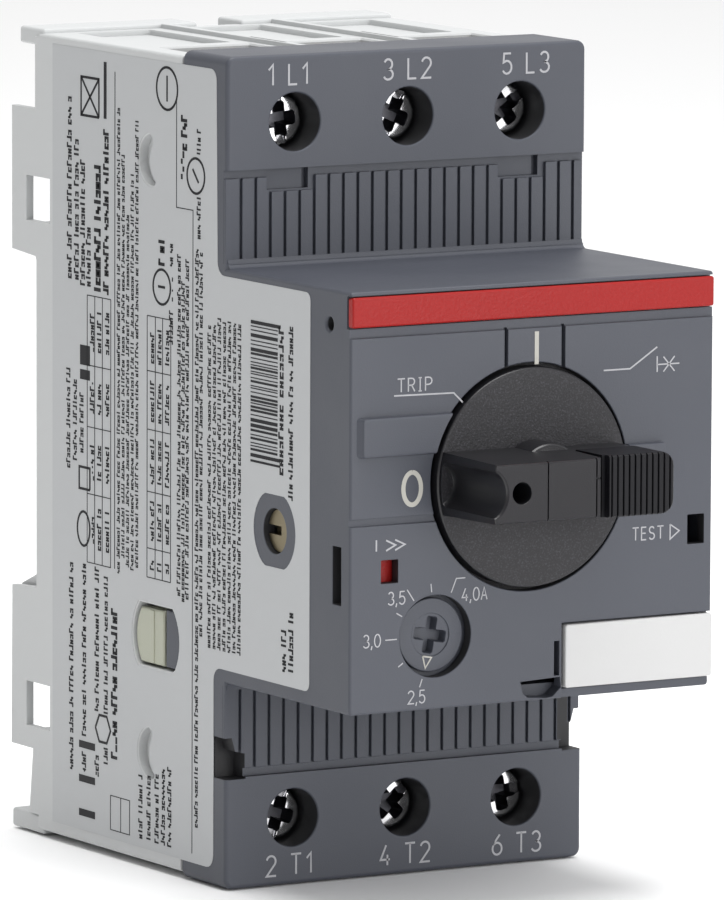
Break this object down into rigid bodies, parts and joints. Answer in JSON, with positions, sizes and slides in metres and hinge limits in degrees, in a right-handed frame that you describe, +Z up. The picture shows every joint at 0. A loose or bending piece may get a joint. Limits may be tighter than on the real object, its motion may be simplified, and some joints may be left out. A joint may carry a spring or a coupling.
{
  "type": "motor protection breaker",
  "caption": "Rail-mounted three-pole motor protection breaker with turning handle, current setting dial and screw terminals.",
  "frame": {"origin": "middle of the flat face on the back that rests on the mounting rail", "axes": "+X to the right as seen from the front, +Y out of the back towards the mounting rail, +Z up along the breaker's height"},
  "size_m": [0.045, 0.0857, 0.09],
  "materials": {
    "light_grey_plastic": "fine matt",
    "dark_grey_plastic": "fine matt",
    "black_plastic": "satin, lightly textured",
    "red_plastic": "semi-gloss",
    "white_plastic": "smooth",
    "label_film": "smooth film",
    "cream_plastic": "smooth",
    "arc_fibre": "rough fibre",
    "zinc_plated_steel": "bright zinc",
    "spring_steel": "drawn wire",
    "bimetal_strip": "rolled",
    "copper": "rolled copper",
    "bronze": "satin bronze"
  },
  "bodies": {
    "housing": {"rear_housing": "light_grey_plastic", "front_cover": "dark_grey_plastic", "trim_strip": "red_plastic", "marker_plate": "white_plastic", "rating_label": "label_film", "mechanism_frame": "zinc_plated_steel", "arc_chute_1": "arc_fibre", "arc_chute_2": "arc_fibre", "arc_chute_3": "arc_fibre", "line_contact_1": "copper", "line_contact_2": "copper", "line_contact_3": "copper", "load_contact_1": "copper", "load_contact_2": "copper", "load_contact_3": "copper", "trip_coil_1": "copper", "trip_coil_2": "copper", "trip_coil_3": "copper", "bimetal_1": "bimetal_strip", "bimetal_2": "bimetal_strip", "bimetal_3": "bimetal_strip"},
    "knob": {"turning_knob": "black_plastic", "knob_shaft": "zinc_plated_steel"},
    "lock": {"lock_slide": "black_plastic"},
    "dial": {"setting_dial": "dark_grey_plastic"},
    "indicator": {"trip_indicator": "red_plastic"},
    "test": {"test_slider": "black_plastic"},
    "latch": {"rail_latch": "light_grey_plastic"},
    "carrier": {"contact_carrier": "cream_plastic", "contact_bridge_1": "copper", "contact_bridge_2": "copper", "contact_bridge_3": "copper", "contact_spring_1": "spring_steel", "contact_spring_2": "spring_steel", "contact_spring_3": "spring_steel"},
    "side_shaft": {"switching_shaft": "bronze"},
    "bar": {"trip_bar": "cream_plastic"},
    "lever": {"trip_lever": "cream_plastic"},
    "plunger_body_1": {"plunger_1": "zinc_plated_steel"},
    "plunger_body_2": {"plunger_2": "zinc_plated_steel"},
    "plunger_body_3": {"plunger_3": "zinc_plated_steel"},
    "screw_upper_1": {"terminal_screw_upper_1": "zinc_plated_steel"},
    "clamp_upper_1": {"terminal_clamp_upper_1": "zinc_plated_steel"},
    "screw_upper_2": {"terminal_screw_upper_2": "zinc_plated_steel"},
    "clamp_upper_2": {"terminal_clamp_upper_2": "zinc_plated_steel"},
    "screw_upper_3": {"terminal_screw_upper_3": "zinc_plated_steel"},
    "clamp_upper_3": {"terminal_clamp_upper_3": "zinc_plated_steel"},
    "screw_lower_1": {"terminal_screw_lower_1": "zinc_plated_steel"},
    "clamp_lower_1": {"terminal_clamp_lower_1": "zinc_plated_steel"},
    "screw_lower_2": {"terminal_screw_lower_2": "zinc_plated_steel"},
    "clamp_lower_2": {"terminal_clamp_lower_2": "zinc_plated_steel"},
    "screw_lower_3": {"terminal_screw_lower_3": "zinc_plated_steel"},
    "clamp_lower_3": {"terminal_clamp_lower_3": "zinc_plated_steel"}
  },
  "joints": [
    {"name": "knob_turn", "type": "hinge", "parent": "housing", "child": "knob", "pos_m": [-0.00045, -0.06915, 0.00155], "axis": [0, 1, 0], "range_deg": [0, 90]},
    {"name": "lock_pull", "type": "slide", "parent": "knob", "child": "lock", "axis": [1, 0, 0], "range_m": [0, 0.003]},
    {"name": "dial_turn", "type": "hinge", "parent": "housing", "child": "dial", "pos_m": [-0.012, -0.06755, -0.0147], "axis": [0, 1, 0], "range_deg": [0, 193]},
    {"name": "indicator_slide", "type": "slide", "parent": "housing", "child": "indicator", "axis": [0, 0, 1], "range_m": [0, 0.0031]},
    {"name": "test_slide", "type": "slide", "parent": "housing", "child": "test", "axis": [1, 0, 0], "range_m": [0, 0.0015], "stiffness_N_per_m": 200, "springref_m": -0.0003},
    {"name": "latch_pull", "type": "slide", "parent": "housing", "child": "latch", "axis": [0, 0, -1], "range_m": [0, 0.003], "stiffness_N_per_m": 300, "springref_m": -0.001},
    {"name": "contact_close", "type": "slide", "parent": "housing", "child": "carrier", "axis": [0, 1, 0], "range_m": [0, 0.0024]},
    {"name": "side_shaft_turn", "type": "hinge", "parent": "housing", "child": "side_shaft", "pos_m": [0, -0.0528, -0.0047], "axis": [1, 0, 0], "range_deg": [0, 40]},
    {"name": "trip_bar_slide", "type": "slide", "parent": "housing", "child": "bar", "axis": [1, 0, 0], "range_m": [0, 0.0015]},
    {"name": "trip_lever_swing", "type": "hinge", "parent": "housing", "child": "lever", "pos_m": [0.0155, -0.0484, -0.0145], "axis": [1, 0, 0], "range_deg": [0, 10]},
    {"name": "plunger_drop_1", "type": "slide", "parent": "housing", "child": "plunger_body_1", "axis": [0, 0, -1], "range_m": [0, 0.002], "stiffness_N_per_m": 60, "springref_m": -0.001},
    {"name": "plunger_drop_2", "type": "slide", "parent": "housing", "child": "plunger_body_2", "axis": [0, 0, -1], "range_m": [0, 0.002], "stiffness_N_per_m": 60, "springref_m": -0.001},
    {"name": "plunger_drop_3", "type": "slide", "parent": "housing", "child": "plunger_body_3", "axis": [0, 0, -1], "range_m": [0, 0.002], "stiffness_N_per_m": 60, "springref_m": -0.001},
    {"name": "screw_turn_upper_1", "type": "hinge", "parent": "housing", "child": "screw_upper_1", "pos_m": [-0.0141, -0.039, 0.0377], "axis": [0, 1, 0], "range_deg": [0, 1260]},
    {"name": "clamp_move_upper_1", "type": "slide", "parent": "housing", "child": "clamp_upper_1", "axis": [0, -1, 0], "range_m": [0, 0.00245]},
    {"name": "screw_turn_upper_2", "type": "hinge", "parent": "housing", "child": "screw_upper_2", "pos_m": [0, -0.039, 0.0377], "axis": [0, 1, 0], "range_deg": [0, 1260]},
    {"name": "clamp_move_upper_2", "type": "slide", "parent": "housing", "child": "clamp_upper_2", "axis": [0, -1, 0], "range_m": [0, 0.00245]},
    {"name": "screw_turn_upper_3", "type": "hinge", "parent": "housing", "child": "screw_upper_3", "pos_m": [0.0141, -0.039, 0.0377], "axis": [0, 1, 0], "range_deg": [0, 1260]},
    {"name": "clamp_move_upper_3", "type": "slide", "parent": "housing", "child": "clamp_upper_3", "axis": [0, -1, 0], "range_m": [0, 0.00245]},
    {"name": "screw_turn_lower_1", "type": "hinge", "parent": "housing", "child": "screw_lower_1", "pos_m": [-0.0141, -0.039, -0.0377], "axis": [0, 1, 0], "range_deg": [0, 1260]},
    {"name": "clamp_move_lower_1", "type": "slide", "parent": "housing", "child": "clamp_lower_1", "axis": [0, -1, 0], "range_m": [0, 0.00245]},
    {"name": "screw_turn_lower_2", "type": "hinge", "parent": "housing", "child": "screw_lower_2", "pos_m": [0, -0.039, -0.0377], "axis": [0, 1, 0], "range_deg": [0, 1260]},
    {"name": "clamp_move_lower_2", "type": "slide", "parent": "housing", "child": "clamp_lower_2", "axis": [0, -1, 0], "range_m": [0, 0.00245]},
    {"name": "screw_turn_lower_3", "type": "hinge", "parent": "housing", "child": "screw_lower_3", "pos_m": [0.0141, -0.039, -0.0377], "axis": [0, 1, 0], "range_deg": [0, 1260]},
    {"name": "clamp_move_lower_3", "type": "slide", "parent": "housing", "child": "clamp_lower_3", "axis": [0, -1, 0], "range_m": [0, 0.00245]}
  ],
  "couplings": [
    {"joint": "knob_turn", "follows": "contact_close", "rad_per_m": 654.49},
    {"joint": "side_shaft_turn", "follows": "contact_close", "rad_per_m": 290.88},
    {"joint": "screw_turn_upper_1", "follows": "clamp_move_upper_1", "rad_per_m": 8975.9},
    {"joint": "screw_turn_upper_2", "follows": "clamp_move_upper_2", "rad_per_m": 8975.9},
    {"joint": "screw_turn_upper_3", "follows": "clamp_move_upper_3", "rad_per_m": 8975.9},
    {"joint": "screw_turn_lower_1", "follows": "clamp_move_lower_1", "rad_per_m": 8975.9},
    {"joint": "screw_turn_lower_2", "follows": "clamp_move_lower_2", "rad_per_m": 8975.9},
    {"joint": "screw_turn_lower_3", "follows": "clamp_move_lower_3", "rad_per_m": 8975.9}
  ]
}
